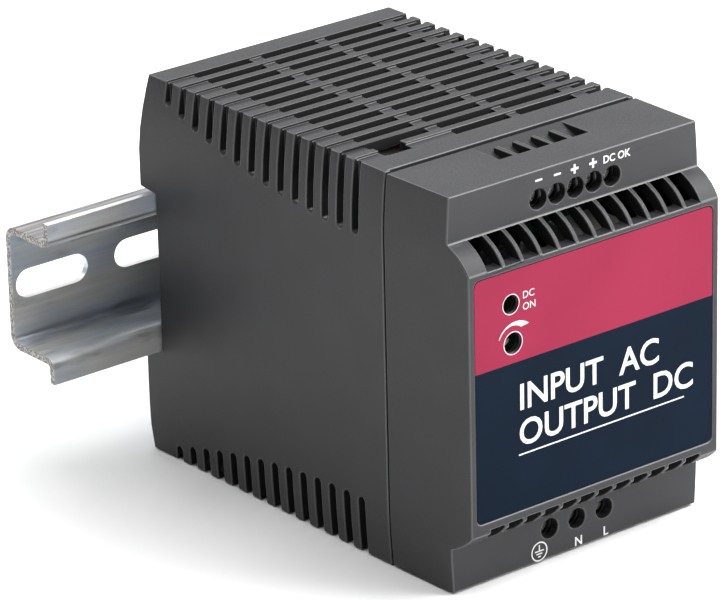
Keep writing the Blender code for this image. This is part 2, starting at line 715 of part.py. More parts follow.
def make_panel_parts(lens, body, knob, relay_plastic):
    """Indicator, output voltage trimmer with its spindle, and the DC OK relay, on the terminal board."""
    x, z = LED_AT
    profile = [(0.0, 0.5), (0.35, 1.05), (1.1, 1.45), (4.4, 1.5), (4.4, 1.85), (5.3, 1.85)]
    led = add_piece("status_led", turned(profile, (x, PANEL + 2.6, z), 1, 12), lens)
    combine(led, wire_legs(x, z, (-1.1, 1.1), 0.25, 0.5, TERMINAL_BOARD - GAP), "UNION")
    x, z = TRIMMER_AT
    case = boxes(((x - 4.7, 12.4, z - 4.7), (x + 4.7, TERMINAL_BOARD - GAP, z + 4.7)))
    trimmer = add_piece("trimmer_body", case, body)
    combine(trimmer, prism(circle((x, z), 3.3, 16), 1, 11.0, 14.4))
    profile = [(0.0, 1.45), (0.3, 1.7), (15.2, 1.7), (15.3, 3.0), (17.4, 3.0)]
    start = PANEL + 2.9
    spindle = add_piece("trimmer_spindle", turned(profile, (x, start, z), 1, 16), knob, (x, start, z))
    combine(spindle, boxes(((x - 2.5, start - 1, z - 0.4), (x + 2.5, start + 0.9, z + 0.4))))
    add_piece("dc_ok_relay", boxes(((8.0, 6.0, 44.0), (20.5, TERMINAL_BOARD - GAP, 62.5))), relay_plastic)


def make_transformer(ferrite, nylon, tape):
    x, z = 11.5, 49.0
    core = add_piece("transformer_core", boxes(((x - 16, 54.5, z - 5.5), (x + 16, 87.0, z + 5.5))), ferrite)
    windows = [((x + s * 8.5 - 4.0, 58.5, z - 8), (x + s * 8.5 + 4.0, 83.0, z + 8)) for s in (-1, 1)]
    combine(core, boxes(*windows))
    flanges = boxes(((x - 12.1, 58.9, z - 12.4), (x + 12.1, 60.1, z + 12.4)),
                    ((x - 12.1, 81.4, z - 12.4), (x + 12.1, 82.6, z + 12.4)))
    bobbin = add_piece("transformer_bobbin", flanges, nylon)
    combine(bobbin, boxes(((x - 5.9, 59.5, z - 6.9), (x + 5.9, 82.0, z + 6.9))), "UNION")
    combine(bobbin, boxes(((x - 4.8, 56, z - 5.8), (x + 4.8, 85, z + 5.8))))
    winding = rounded_rectangle((x - 11.9, z - 12.0), (x + 11.9, z + 12.0), 4.0)
    piece = add_piece("transformer_winding", prism(winding, 1, 60.5, 81.0), tape)
    combine(piece, boxes(((x - 6.2, 58, z - 7.2), (x + 6.2, 84, z + 7.2))))


def make_toroid(name, centre, axis, inner, outer, height, build, ferrite, copper):
    """A toroidal core and a winding that covers five sixths of it, open where its leads leave."""
    half = height / 2
    core = rectangle_loop(inner, outer, -half, half)
    add_piece(f"{name}_core", ring_sweep(centre, axis, [core], 0, 360, 20), ferrite)
    clear = rectangle_loop(inner - GAP, outer + GAP, -half - GAP, half + GAP)
    wound = rectangle_loop(inner - build, outer + build, -half - build, half + build)
    add_piece(f"{name}_winding", ring_sweep(centre, axis, [wound, clear], 120, 420, 15), copper)


def can_profile(radius, tall):
    """An electrolytic capacitor from its top to its base, with the groove that crimps its seal."""
    return [(0.0, radius - 0.5), (0.4, radius), (tall - 2.6, radius), (tall - 2.0, radius - 0.5),
            (tall - 1.4, radius), (tall, radius - 0.2)]


def make_capacitors(sleeve, film_box):
    """Two large cans on the main board, and three small ones behind the louvre on the terminal board."""
    board, terminal_board = MAIN_BOARD - GAP, TERMINAL_BOARD - GAP
    for number, z in ((1, 40.4), (2, 59.6)):
        can = turned(can_profile(9.0, 45.0), (-18.4, board - 45.0, z), 1, 20)
        add_piece(f"bulk_capacitor_{number}", can, sleeve)
    for number, x, z in ((1, -16.9, 65.0), (2, -12.0, 65.1), (3, -6.4, 64.4)):
        can = turned(can_profile(2.3, 12.0), (x, terminal_board - 12.0, z), 1, 16)
        add_piece(f"output_capacitor_{number}", can, sleeve)
    add_piece("x_capacitor", boxes(((-27.0, board - 19.0, 4.6), (-3.5, board, 14.2))), film_box)


def wire_legs(x, z, offsets, half, front, board):
    """Square wires that run back to a board, side by side about a middle line."""
    return boxes(*[((x + s - half, front, z - half), (x + s + half, board, z + half)) for s in offsets])


def disc_with_legs(centre, radius, thickness, board):
    """A coated disc component standing on two wire legs."""
    x, y, z = centre
    bm = turned([(-thickness / 2, radius - 0.8), (-thickness / 4, radius), (thickness / 4, radius),
                 (thickness / 2, radius - 0.8)], centre, 2, 16)
    return bm, wire_legs(x, z, (-2.5, 2.5), 0.35, y + radius - 2.5, board)


def make_input_parts(glass, disc_blue, disc_green, moulding):
    board = MAIN_BOARD - GAP
    cap, tube = 2.6, 2.4
    profile = [(0.0, tube), (0.3, cap), (5.0, cap), (5.1, tube),
               (14.9, tube), (15.0, cap), (19.7, cap), (20.0, tube)]
    add_piece("input_fuse", turned(profile, (-27.0, board - 3.6, 18.4), 0, 14), glass)
    discs = (("varistor", -20.5, 6.0, disc_blue), ("inrush_thermistor", -7.8, 5.5, disc_green))
    for name, x, radius, material in discs:
        disc, legs = disc_with_legs((x, board - 10.0, 23.6), radius, 3.4, board)
        combine(add_piece(name, disc, material), legs, "UNION")
    case = boxes(((-27.0, board - 18.0, 26.7), (-6.5, board - 3.0, 30.2)))
    bridge = add_piece("bridge_rectifier", case, moulding)
    combine(bridge, wire_legs(-16.7, 28.45, (-7.5, -2.5, 2.5, 7.5), 0.35, board - 4.0, board), "UNION")


def make_device(name, x, near, side, board, moulding):
    """A three-legged device that lies on the upper (1) or lower (-1) side of its heat sink."""
    low, high = sorted((near, near + side * 4.3))
    tab_low, tab_high = sorted((near, near + side * 1.3))
    middle = (low + high) / 2
    device = add_piece(name, boxes(((x - 5.1, board - 14.5, low), (x + 5.1, board - 5.2, high))), moulding)
    combine(device, boxes(((x - 5.1, board - 21.5, tab_low), (x + 5.1, board - 14.0, tab_high))), "UNION")
    combine(device, prism(circle((x, board - 19.0), 1.8, 10), 2, tab_low - 1, tab_high + 1))
    combine(device, wire_legs(x, middle, (-2.54, 0, 2.54), 0.35, board - 6.0, board), "UNION")


def make_power_stage(aluminium, moulding):
    """A transistor and a rectifier, each flat against its own upright heat sink plate."""
    board = MAIN_BOARD - GAP
    foot = rounded_rectangle((-6.5, board - 33.0), (27.0, board), 1.0, 2)
    for sink, device, x, low, side in (("primary_heat_sink", "switching_transistor", 11.0, 32.7, -1),
                                       ("output_heat_sink", "output_rectifier", 8.0, 63.2, 1)):
        high = low + 1.5
        plate = add_piece(sink, prism(foot, 2, low, high), aluminium)
        combine(plate, prism(circle((x, board - 19.0), 1.7, 10), 2, low - 1, high + 1))
        make_device(device, x, low - GAP if side < 0 else high + GAP, side, board, moulding)


# ---------------------------------------------------------------- whole object


def main():
    clear_scene()
    datum = bpy.data.objects.new("datum", None)
    bpy.context.scene.collection.objects.link(datum)
    datum.location = (0.0, DATUM_Y * MM, 0.0)

    grey_plastic = make_material("grey_moulding", (0.065, 0.067, 0.070), 0.55)
    label_film = make_material("label_film", (0.45, 0.05, 0.10), 0.4)
    latch_plastic = make_material("latch_moulding", (0.03, 0.03, 0.032), 0.5)
    zinc = make_material("zinc_plated_steel", (0.52, 0.53, 0.54), 0.35, 1.0)
    spring_steel = make_material("spring_steel", (0.35, 0.35, 0.36), 0.3, 1.0)
    block_plastic = make_material("terminal_moulding", (0.02, 0.022, 0.022), 0.5)
    screw_metal = make_material("nickel_plated_screw", (0.62, 0.60, 0.55), 0.3, 1.0)
    clamp_metal = make_material("zinc_plated_clamp", (0.5, 0.5, 0.48), 0.35, 1.0)
    contact_metal = make_material("tinned_copper", (0.60, 0.52, 0.44), 0.3, 1.0)
    laminate = make_material("glass_epoxy_laminate", (0.02, 0.13, 0.06), 0.45)
    lens = make_material("green_lens", (0.05, 0.35, 0.10), 0.2)
    blue = make_material("blue_moulding", (0.03, 0.10, 0.35), 0.45)
    white = make_material("white_nylon", (0.70, 0.69, 0.65), 0.5)
    black = make_material("black_moulding", (0.015, 0.015, 0.016), 0.45)
    ferrite = make_material("ferrite", (0.05, 0.05, 0.052), 0.6)
    tape = make_material("polyester_tape", (0.60, 0.42, 0.05), 0.4)
    copper = make_material("enamelled_copper", (0.50, 0.20, 0.07), 0.3, 1.0)
    sleeve = make_material("capacitor_sleeve", (0.02, 0.03, 0.07), 0.35)
    yellow = make_material("yellow_film_box", (0.60, 0.42, 0.06), 0.4)
    glass = make_material("fuse_glass", (0.65, 0.66, 0.66), 0.15)
    green = make_material("green_epoxy", (0.05, 0.20, 0.12), 0.45)
    aluminium = make_material("aluminium_plate", (0.75, 0.76, 0.77), 0.35, 1.0)

    make_rear_housing(grey_plastic)
    make_front_cover(grey_plastic)
    make_front_label(label_film)
    make_din_rail(zinc)
    make_din_latch(latch_plastic)
    make_latch_spring(spring_steel)
    make_terminals(block_plastic, screw_metal, clamp_metal, contact_metal)
    make_boards(laminate)
    make_panel_parts(lens, blue, white, white)
    make_transformer(ferrite, black, tape)
    make_toroid("input_choke", (14.0, 76.0, 15.6), 1, 5.5, 9.6, 8.0, 1.2, ferrite, copper)
    make_toroid("output_inductor", (14.5, 73.5, 73.6), 2, 6.5, 11.0, 6.0, 1.3, ferrite, copper)
    make_capacitors(sleeve, yellow)
    make_input_parts(glass, blue, green, black)
    make_power_stage(aluminium, black)


main()
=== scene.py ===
"""Looks of the DIN rail power supply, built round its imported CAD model.

Positions are in metres in the model's frame: X along the rail, -Y to the front, Z up. Sizes in the
constants and in the calls of the material helpers are in millimetres.
"""

import json
import math

import bmesh
import bpy
import numpy as np
from mathutils import Matrix, Vector


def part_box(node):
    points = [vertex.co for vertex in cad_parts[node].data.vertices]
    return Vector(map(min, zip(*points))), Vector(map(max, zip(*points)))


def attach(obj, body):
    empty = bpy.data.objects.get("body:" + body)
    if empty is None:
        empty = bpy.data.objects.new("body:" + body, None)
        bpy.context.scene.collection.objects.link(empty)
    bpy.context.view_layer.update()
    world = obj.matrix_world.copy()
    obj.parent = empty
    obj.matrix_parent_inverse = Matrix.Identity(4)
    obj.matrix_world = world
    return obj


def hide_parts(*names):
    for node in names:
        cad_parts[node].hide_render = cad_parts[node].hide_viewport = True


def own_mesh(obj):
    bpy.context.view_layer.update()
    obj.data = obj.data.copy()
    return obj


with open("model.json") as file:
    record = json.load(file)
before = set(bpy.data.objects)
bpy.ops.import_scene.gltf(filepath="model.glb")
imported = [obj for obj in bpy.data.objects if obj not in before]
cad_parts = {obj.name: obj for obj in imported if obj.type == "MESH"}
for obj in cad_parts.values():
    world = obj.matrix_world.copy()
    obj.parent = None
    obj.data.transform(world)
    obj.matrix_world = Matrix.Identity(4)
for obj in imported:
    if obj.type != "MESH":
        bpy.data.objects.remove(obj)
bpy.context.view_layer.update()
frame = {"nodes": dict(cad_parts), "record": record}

MM = 0.001
NODES = frame["nodes"]
RECORD = frame["record"]
BODY_OF = {node: body for body, nodes in RECORD["behaviour"]["bodies"].items() for node in nodes}
SLOT_OF = {part["node"]: part["material_slot"] for part in RECORD["subparts"]}

# Camera, fitted to the photograph's perspective
CAMERA_PLACE = Vector((-0.5750, -0.7057, 0.4063))
CAMERA_TARGET = Vector((-0.05295, -0.0506, 0.06775))
CAMERA_ROLL = math.radians(-1.363)
CAMERA_LENS = 239.7
SENSOR = 36.0
NEAR_CLIP = 0.05

# Light: each area light's direction from the object, distance and size in metres, and power in watts
WORLD = 0.13
LIT_POINT = Vector((0.0, 0.0, 0.04))
LIGHTS = {
    "key": ((0.52, -0.42, 0.70), 1.0, (0.7, 0.5), 12.0),
    "fill": ((0.62, -0.78, 0.25), 0.9, (0.6, 0.6), 6.0),
    "top": ((0.1, 0.1, 1.0), 1.2, (1.4, 1.4), 18.5),
    "rim": ((-0.34, 0.66, 0.52), 1.2, (0.8, 0.35), 3.5),
    "back": ((0.52, 0.66, 0.34), 1.5, (2.0, 0.9), 7.5),
}
FLOOR_SIZE, FLOOR_DROP = 4.0, 0.0002

# Joining of the CAD faces, with the distance in metres and the angle in degrees
WELD_DISTANCE, FLAT_ANGLE = 2e-6, 0.6

# Rounding of the edges: its radius for each node, and for the nodes whose names end alike
EDGE_RADII = {
    "rear_housing": 0.26, "front_cover": 0.26, "din_rail": 0.12, "din_latch": 0.25,
    "output_terminal_block": 0.15, "input_terminal_block": 0.15, "trimmer_spindle": 0.1, "trimmer_body": 0.25,
    "dc_ok_relay": 0.5, "status_led": 0.08, "terminal_board": 0.1, "main_board": 0.1, "riser_board": 0.1,
    "x_capacitor": 0.5, "bridge_rectifier": 0.3, "transformer_core": 0.3, "transformer_bobbin": 0.15,
    "primary_heat_sink": 0.2, "output_heat_sink": 0.2,
}
ENDING_RADII = {"_screw": 0.08, "_clamp": 0.15, "_contact": 0.1}
ROUNDING_STEPS = 2
SHARP_ANGLE = 28.0
ROOM_SHARE, LEAST_WEIGHT = 0.8, 0.05
SMOOTH_ANGLE, SKIN_SMOOTH_ANGLE = 32.0, 95.0
# A lighter, glossier material on the rounded faces of the casing: a painted highlight along its edges
EDGE_HIGHLIGHT_MATERIALS = {"grey_moulding": "grey_moulding_edge_highlight"}

# Walls inside the casing, painted darker as shade and made rougher than its outside
INSIDE_SHADE_TONE, INSIDE_ROUGHNESS = 0.3, 0.85
INSIDE_HALF_WIDTH, GRILLE_MIDDLE, GRILLE_HALF_DEPTH = 30.0, 8.0, 35.0
FACING = 0.9

# Rail: the height of its top flank, along whose bend a dark brown band of painted shade runs, and where its
# sheared ends start
RAIL_TOP_FLANK, RAIL_END = 54.1, 59.9

# The one output capacitor with a bare end, and where that end starts
OPEN_CAN_NODE, CAN_END = "output_capacitor_3", -44.0

# Blender's wave texture has this many radians in a unit, at scale 1
WAVE_RADIANS = 20.0

# Print on the label
PRINT_THICKNESS = 0.03
SPLIT_HEIGHT, SPLIT_BLUR = 47.84, 0.02
RED = (0.262, 0.0245, 0.057)
NAVY = (0.004, 0.0095, 0.020)
CAP_SHARE = 0.73
LED_HOLE, TRIMMER_HOLE, RING_WIDTH = 1.98, 2.25, 0.16
LAMP_LETTERS, LAMP_WORDS_AWAY = 1.55, 2.9
LAMP_WORDS = (("DC", 0.4), ("ON", -2.0))
LABEL_LETTERS, LABEL_LEFT, LABEL_BOLD = 5.6, -20.0, 0.1
LABEL_LINES = (("INPUT  AC", 37.6), ("OUTPUT  DC", 30.0))
LABEL_RULE = (1.6, 28.2, 43.2, 0.3)

# Print at the terminals, whose faces lie this far behind the cover's front
TERMINAL_FACE = 6.15
TERMINAL_BOLD = 0.05
SIGN_HEIGHT = 80.6
MINUS_SHIFT, MINUS_WIDTH, MINUS_STROKE = 0.1, 1.75, 0.42
PLUS_SHIFT, PLUS_SIZE, PLUS_STROKE = -0.25, 1.95, 0.5
RELAY_LETTERS, RELAY_PLACE = 1.6, (7.3, 79.8)
INPUT_LETTERS, INPUT_SHIFT, INPUT_HEIGHT = 2.0, 0.3, 0.75
EARTH_SHIFT, EARTH_HEIGHT, EARTH_STROKE = -2.8, 2.45, 0.28
EARTH_RING, EARTH_RING_SIDES = (2.1, 1.82), 32
EARTH_STEM = (0.75, 1.3)
EARTH_BARS = ((0.1, 2.3), (-0.5, 1.5), (-1.1, 0.7))

# ---------------------------------------------------------------- material helpers


class Shader:
    """A material's node tree, with short calls for the nodes that the materials share."""

    def __init__(self, name, colour, roughness, metallic=0.0, specular=0.5):
        self.material = bpy.data.materials.new(name)
        self.material.use_nodes = True
        self.tree = self.material.node_tree
        self.shader = self.tree.nodes["Principled BSDF"]
        self.shader.inputs["Base Color"].default_value = (*colour, 1.0)
        self.shader.inputs["Roughness"].default_value = roughness
        self.shader.inputs["Metallic"].default_value = metallic
        self.shader.inputs["Specular IOR Level"].default_value = specular
        self.place = self.tree.nodes.new("ShaderNodeTexCoord").outputs["Object"]

    def feed(self, socket, value):
        if isinstance(value, bpy.types.NodeSocket):
            self.tree.links.new(value, socket)
        else:
            socket.default_value = value

    def coordinates(self, scale):
        """Object coordinates in millimetres, times a factor on each axis."""
        made = self.tree.nodes.new("ShaderNodeMapping")
        self.feed(made.inputs["Vector"], self.place)
        made.inputs["Scale"].default_value = tuple(s / MM for s in scale)
        return made.outputs["Vector"]

    def noise(self, size, detail=3.0, stretch=(1.0, 1.0, 1.0)):
        """Noise from 0 to 1 whose lumps are about this many millimetres across."""
        made = self.tree.nodes.new("ShaderNodeTexNoise")
        self.feed(made.inputs["Vector"], self.coordinates(tuple(s / size for s in stretch)))
        made.inputs["Scale"].default_value = 1.0
        made.inputs["Detail"].default_value = detail
        return made.outputs["Fac"]

    def turns(self, axis, pitch):
        """Waves along an axis, one for each turn of a winding, whose pitch is in millimetres."""
        made = self.tree.nodes.new("ShaderNodeTexWave")
        self.feed(made.inputs["Vector"], self.coordinates((1.0, 1.0, 1.0)))
        made.bands_direction = axis
        made.wave_profile = "SIN"
        made.inputs["Scale"].default_value = math.tau / (WAVE_RADIANS * pitch)
        made.inputs["Distortion"].default_value = 0.4
        made.inputs["Detail Scale"].default_value = 0.5
        return made.outputs["Fac"]

    def remap(self, value, low, high, to_low, to_high):
        made = self.tree.nodes.new("ShaderNodeMapRange")
        self.feed(made.inputs["Value"], value)
        for name, number in (("From Min", low), ("From Max", high), ("To Min", to_low), ("To Max", to_high)):
            made.inputs[name].default_value = number
        return made.outputs["Result"]

    def math(self, operation, *values):
        made = self.tree.nodes.new("ShaderNodeMath")
        made.operation = operation
        for socket, value in zip(made.inputs, values):
            self.feed(socket, value)
        return made.outputs[0]

    def mix(self, share, first, second):
        made = self.tree.nodes.new("ShaderNodeMix")
        made.data_type = "RGBA"
        self.feed(made.inputs["Factor"], share)
        colours = [socket for socket in made.inputs if socket.type == "RGBA"]
        for socket, value in zip(colours, (first, second)):
            self.feed(socket, value if isinstance(value, bpy.types.NodeSocket) else (*value, 1.0))
        return [socket for socket in made.outputs if socket.type == "RGBA"][0]

    def along(self, axis):
        """The object coordinate along X, Y or Z, in metres."""
        made = self.tree.nodes.new("ShaderNodeSeparateXYZ")
        self.feed(made.inputs["Vector"], self.place)
        return made.outputs[axis]

    def bump(self, height, strength, distance):
        made = self.tree.nodes.new("ShaderNodeBump")
        made.inputs["Strength"].default_value = strength
        made.inputs["Distance"].default_value = distance * MM
        self.feed(made.inputs["Height"], height)
        normal = self.shader.inputs["Normal"]
        if normal.is_linked:
            self.feed(made.inputs["Normal"], normal.links[0].from_socket)
        self.feed(normal, made.outputs["Normal"])

    def colour(self, value):
        self.feed(self.shader.inputs["Base Color"], value)

    def roughness(self, value):
        self.feed(self.shader.inputs["Roughness"], value)


def shades(colour, spread):
    """A darker and a lighter shade of a colour, each by this share of it."""
    return tuple(c * (1 - spread) for c in colour), tuple(min(1.0, c * (1 + spread)) for c in colour)


# ---------------------------------------------------------------- materials


def inner_faces(s):
    """1 on the walls inside the casing's louvres and grille, which are painted darker as shade and made
    rougher.
    """
    turn = s.tree.nodes.new("ShaderNodeSeparateXYZ")
    s.feed(turn.inputs["Vector"], s.tree.nodes["Texture Coordinate"].outputs["Normal"])
    across = s.math("GREATER_THAN", s.math("ABSOLUTE", turn.outputs["X"]), FACING)
    between = s.math("LESS_THAN", s.math("ABSOLUTE", s.along("X")), INSIDE_HALF_WIDTH * MM)
    along = s.math("GREATER_THAN", s.math("ABSOLUTE", turn.outputs["Y"]), FACING)
    behind = s.math("COMPARE", s.along("Y"), GRILLE_MIDDLE * MM, GRILLE_HALF_DEPTH * MM)
    return s.math("MAXIMUM", s.math("MULTIPLY", across, between), s.math("MULTIPLY", along, behind))


def moulded(name, colour, roughness=0.5, grain=0.3, depth=0.02, specular=0.5, spread=0.07,
            shade_inside=False):
    """Moulded plastic: a fine spark-eroded grain, with soft patches of tone and gloss, and where asked painted
    shade inside the casing.
    """
    s = Shader(name, colour, roughness, specular=specular)
    fine = s.noise(grain, 2.0)
    tone = s.mix(s.remap(s.noise(11.0, 2.0), 0.35, 0.65, 0.0, 1.0), *shades(colour, spread))
    gloss = s.remap(fine, 0.3, 0.7, roughness - 0.06, roughness + 0.08)
    if shade_inside:
        # Painted shade: the walls inside the louvres and grille are darkened to a share of the colour,
        # standing in for the shade in these recesses
        inside = inner_faces(s)
        tone = s.mix(inside, tone, tuple(c * INSIDE_SHADE_TONE for c in colour))
        gloss = s.math("MAXIMUM", gloss, s.math("MULTIPLY", inside, INSIDE_ROUGHNESS))
    s.colour(tone)
    s.roughness(gloss)
    s.bump(fine, 0.45, depth)
    return s.material


def printed_film(name):
    """The label: red over dark blue, with the slight weave of screen print in a satin film."""
    s = Shader(name, RED, 0.38, specular=0.03)
    weave = s.noise(0.22, 1.0)
    red = s.mix(s.remap(s.noise(18.0, 1.0), 0.3, 0.7, 0.0, 1.0), *shades(RED, 0.05))
    navy = s.mix(s.remap(s.noise(15.0, 1.0), 0.3, 0.7, 0.0, 1.0), *shades(NAVY, 0.08))
    edge, blur = SPLIT_HEIGHT * MM, SPLIT_BLUR * MM
    s.colour(s.mix(s.remap(s.along("Z"), edge - blur, edge + blur, 0.0, 1.0), navy, red))
    s.roughness(s.remap(weave, 0.3, 0.7, 0.33, 0.45))
    s.bump(weave, 0.15, 0.01)
    return s.material


def zinc_plate(name):
    """Zinc-plated steel strip: rolled streaks, blue and brown passivation, a dark band of painted shade along
    the top flank's bend, and rough sheared ends.
    """
    s = Shader(name, (0.5, 0.51, 0.53), 0.4, 0.6)
    streaks = s.noise(1.1, 4.0, (0.06, 1.0, 1.0))
    clouds = s.noise(8.0, 4.0, (0.3, 1.0, 1.0))
    tint = s.mix(s.remap(clouds, 0.36, 0.60, 0.0, 1.0), (0.54, 0.63, 0.74), (0.70, 0.69, 0.66))
    # Painted shade: a narrow dark brown band along the bend at the rail's top flank
    shade_rising = s.remap(s.along("Z"), (RAIL_TOP_FLANK - 0.4) * MM, (RAIL_TOP_FLANK - 0.05) * MM, 0.0, 0.9)
    shade_falling = s.remap(s.along("Z"), (RAIL_TOP_FLANK + 0.1) * MM, (RAIL_TOP_FLANK + 0.6) * MM, 1.0, 0.0)
    tint = s.mix(s.math("MULTIPLY", shade_rising, shade_falling), tint, (0.06, 0.045, 0.036))
    streaked = s.mix(s.remap(streaks, 0.35, 0.75, 0.0, 0.5), tint, (0.90, 0.91, 0.93))
    stains = s.remap(s.noise(5.0, 6.0, (0.25, 1.0, 1.0)), 0.56, 0.66, 0.0, 0.55)
    stained = s.mix(stains, streaked, (0.20, 0.20, 0.22))
    end = s.remap(s.math("ABSOLUTE", s.along("X")), RAIL_END * MM, (RAIL_END + 0.06) * MM, 0.0, 1.0)
    specks = s.remap(s.noise(0.45, 6.0), 0.46, 0.54, 0.0, 1.0)
    sheared = s.mix(specks, (0.12, 0.115, 0.11), (0.38, 0.37, 0.35))
    s.colour(s.mix(end, stained, sheared))
    s.roughness(s.remap(s.noise(3.0, 5.0, (0.2, 1.0, 1.0)), 0.3, 0.7, 0.30, 0.50))
    s.bump(streaks, 0.2, 0.02)
    s.bump(s.noise(0.35, 4.0), 0.3, 0.03)
    return s.material


def plated(name, colour, roughness=0.28, stretch=(1.0, 1.0, 1.0)):
    """Plated metal with fine drawing or turning marks and a little tarnish."""
    s = Shader(name, colour, roughness, 1.0)
    marks = s.noise(0.25, 3.0, stretch)
    s.colour(s.mix(s.remap(s.noise(1.6, 3.0), 0.35, 0.7, 0.0, 1.0), *shades(colour, 0.14)))
    s.roughness(s.remap(marks, 0.3, 0.7, roughness - 0.08, roughness + 0.12))
    s.bump(marks, 0.2, 0.01)
    return s.material


def circuit_board(name):
    """Solder mask over copper: a slightly lumpy green coat, lighter where tracks run under it."""
    s = Shader(name, (0.006, 0.045, 0.018), 0.45)
    tracks = s.remap(s.noise(5.0, 0.0, (1.0, 1.0, 0.25)), 0.49, 0.51, 0.0, 1.0)
    s.colour(s.mix(tracks, (0.005, 0.035, 0.014), (0.009, 0.058, 0.022)))
    s.roughness(s.remap(s.noise(1.5), 0.3, 0.7, 0.28, 0.42))
    s.bump(tracks, 0.2, 0.03)
    return s.material


def wound(name, colour, metallic, axis, pitch):
    """A winding: rows of enamelled wire or of wrapped tape, painted darker in the grooves between turns and
    lighter on their crowns, as shade and highlight.
    """
    s = Shader(name, colour, 0.3, metallic)
    rows = s.turns(axis, pitch)
    # Painted shade and highlight: darker in the grooves between turns, lighter on their crowns
    s.colour(s.mix(rows, *shades(colour, 0.35)))
    s.bump(rows, 0.8, pitch / 3)
    return s.material


def ferrite(name):
    s = Shader(name, (0.035, 0.035, 0.037), 0.6)
    grit = s.noise(0.35, 4.0)
    s.colour(s.mix(grit, (0.025, 0.025, 0.027), (0.055, 0.054, 0.055)))
    s.bump(grit, 0.35, 0.04)
    return s.material


def glossy(name, colour, roughness=0.22, coat=0.3):
    """Dipped, shrunk or lens-clear plastic with a soft wave in its gloss."""
    s = Shader(name, colour, roughness)
    s.colour(s.mix(s.noise(2.5), *shades(colour, 0.15)))
    s.roughness(s.remap(s.noise(1.2), 0.3, 0.7, roughness - 0.06, roughness + 0.08))
    s.shader.inputs["Coat Weight"].default_value = coat
    s.bump(s.noise(1.8, 2.0), 0.2, 0.04)
    return s.material


def open_can(name):
    """A small capacitor: a dark sleeve, and the bare aluminium of the can at its front end."""
    s = Shader(name, (0.02, 0.022, 0.028), 0.3)
    end = s.remap(s.along("Y"), CAN_END * MM, (CAN_END + 0.05) * MM, 1.0, 0.0)
    metal = s.mix(s.noise(0.8), (0.62, 0.63, 0.64), (0.80, 0.81, 0.82))
    s.colour(s.mix(end, s.mix(s.noise(2.0), (0.015, 0.017, 0.022), (0.03, 0.033, 0.04)), metal))
    s.feed(s.shader.inputs["Metallic"], end)
    s.bump(s.noise(0.3), 0.2, 0.02)
    return s.material


def make_materials():
    """One material for each slot, and those of the painted highlight on the rounded edges, the bare can end
    and the print.
    """
    return {
        "grey_moulding": moulded("grey_moulding", (0.0235, 0.024, 0.0262), 0.47, specular=0.31,
                                 shade_inside=True),
        # Lighter than grey_moulding: a painted highlight on the rounded edges
        "grey_moulding_edge_highlight": moulded("grey_moulding_edge_highlight", (0.065, 0.066, 0.069), 0.32, depth=0.01),
        "label_film": printed_film("label_film"),
        "latch_moulding": moulded("latch_moulding", (0.02, 0.02, 0.021), 0.42),
        "zinc_plated_steel": zinc_plate("zinc_plated_steel"),
        "spring_steel": plated("spring_steel", (0.38, 0.38, 0.40)),
        "terminal_moulding": moulded("terminal_moulding", (0.014, 0.016, 0.015), 0.45),
        "nickel_plated_screw": plated("nickel_plated_screw", (0.66, 0.64, 0.58), 0.3, (0.3, 1.0, 1.0)),
        "zinc_plated_clamp": plated("zinc_plated_clamp", (0.55, 0.55, 0.53), 0.32),
        "tinned_copper": plated("tinned_copper", (0.62, 0.55, 0.47), 0.3),
        "glass_epoxy_laminate": circuit_board("glass_epoxy_laminate"),
        "green_lens": glossy("green_lens", (0.03, 0.22, 0.06), 0.15, 0.6),
        "blue_moulding": glossy("blue_moulding", (0.02, 0.08, 0.28), 0.35, 0.1),
        "white_nylon": moulded("white_nylon", (0.62, 0.61, 0.57), 0.45),
        "black_moulding": moulded("black_moulding", (0.012, 0.012, 0.013), 0.42),
        "ferrite": ferrite("ferrite"),
        "polyester_tape": wound("polyester_tape", (0.55, 0.36, 0.04), 0.0, "Y", 9.0),
        "enamelled_copper": wound("enamelled_copper", (0.52, 0.20, 0.07), 1.0, "DIAGONAL", 0.9),
        "open_can": open_can("open_can"),
        "capacitor_sleeve": glossy("capacitor_sleeve", (0.02, 0.022, 0.028), 0.25, 0.4),
        "yellow_film_box": glossy("yellow_film_box", (0.55, 0.38, 0.05), 0.35, 0.1),
        "fuse_glass": glossy("fuse_glass", (0.60, 0.61, 0.60), 0.15, 0.5),
        "green_epoxy": glossy("green_epoxy", (0.03, 0.14, 0.08), 0.35, 0.2),
        "aluminium_plate": plated("aluminium_plate", (0.72, 0.73, 0.74), 0.35, (0.1, 1.0, 1.0)),
        "white_print": moulded("white_print", (0.66, 0.66, 0.66), 0.45, 0.15, 0.004, 0.4, 0.03),
    }


# ---------------------------------------------------------------- pieces


def add_object(name, bm_or_mesh, material, smooth_angle=SMOOTH_ANGLE):
    mesh = bm_or_mesh
    if isinstance(bm_or_mesh, bmesh.types.BMesh):
        mesh = bpy.data.meshes.new(name)
        bm_or_mesh.to_mesh(mesh)
        bm_or_mesh.free()
    mesh.name = name
    mesh.shade_smooth()
    mesh.set_sharp_from_angle(angle=math.radians(smooth_angle))
    mesh.materials.clear()
    mesh.materials.append(material)
    piece = bpy.data.objects.new(name, mesh)
    bpy.context.scene.collection.objects.link(piece)
    return piece


def whole_faces(node):
    """A CAD node's shape with its flat faces joined, and cut again only where they would be concave."""
    bm = bmesh.new()
    bm.from_mesh(NODES[node].data)
    bmesh.ops.remove_doubles(bm, verts=bm.verts, dist=WELD_DISTANCE)
    bmesh.ops.dissolve_limit(bm, angle_limit=math.radians(FLAT_ANGLE), verts=bm.verts, edges=bm.edges)
    bmesh.ops.connect_verts_concave(bm, faces=bm.faces)
    return bm


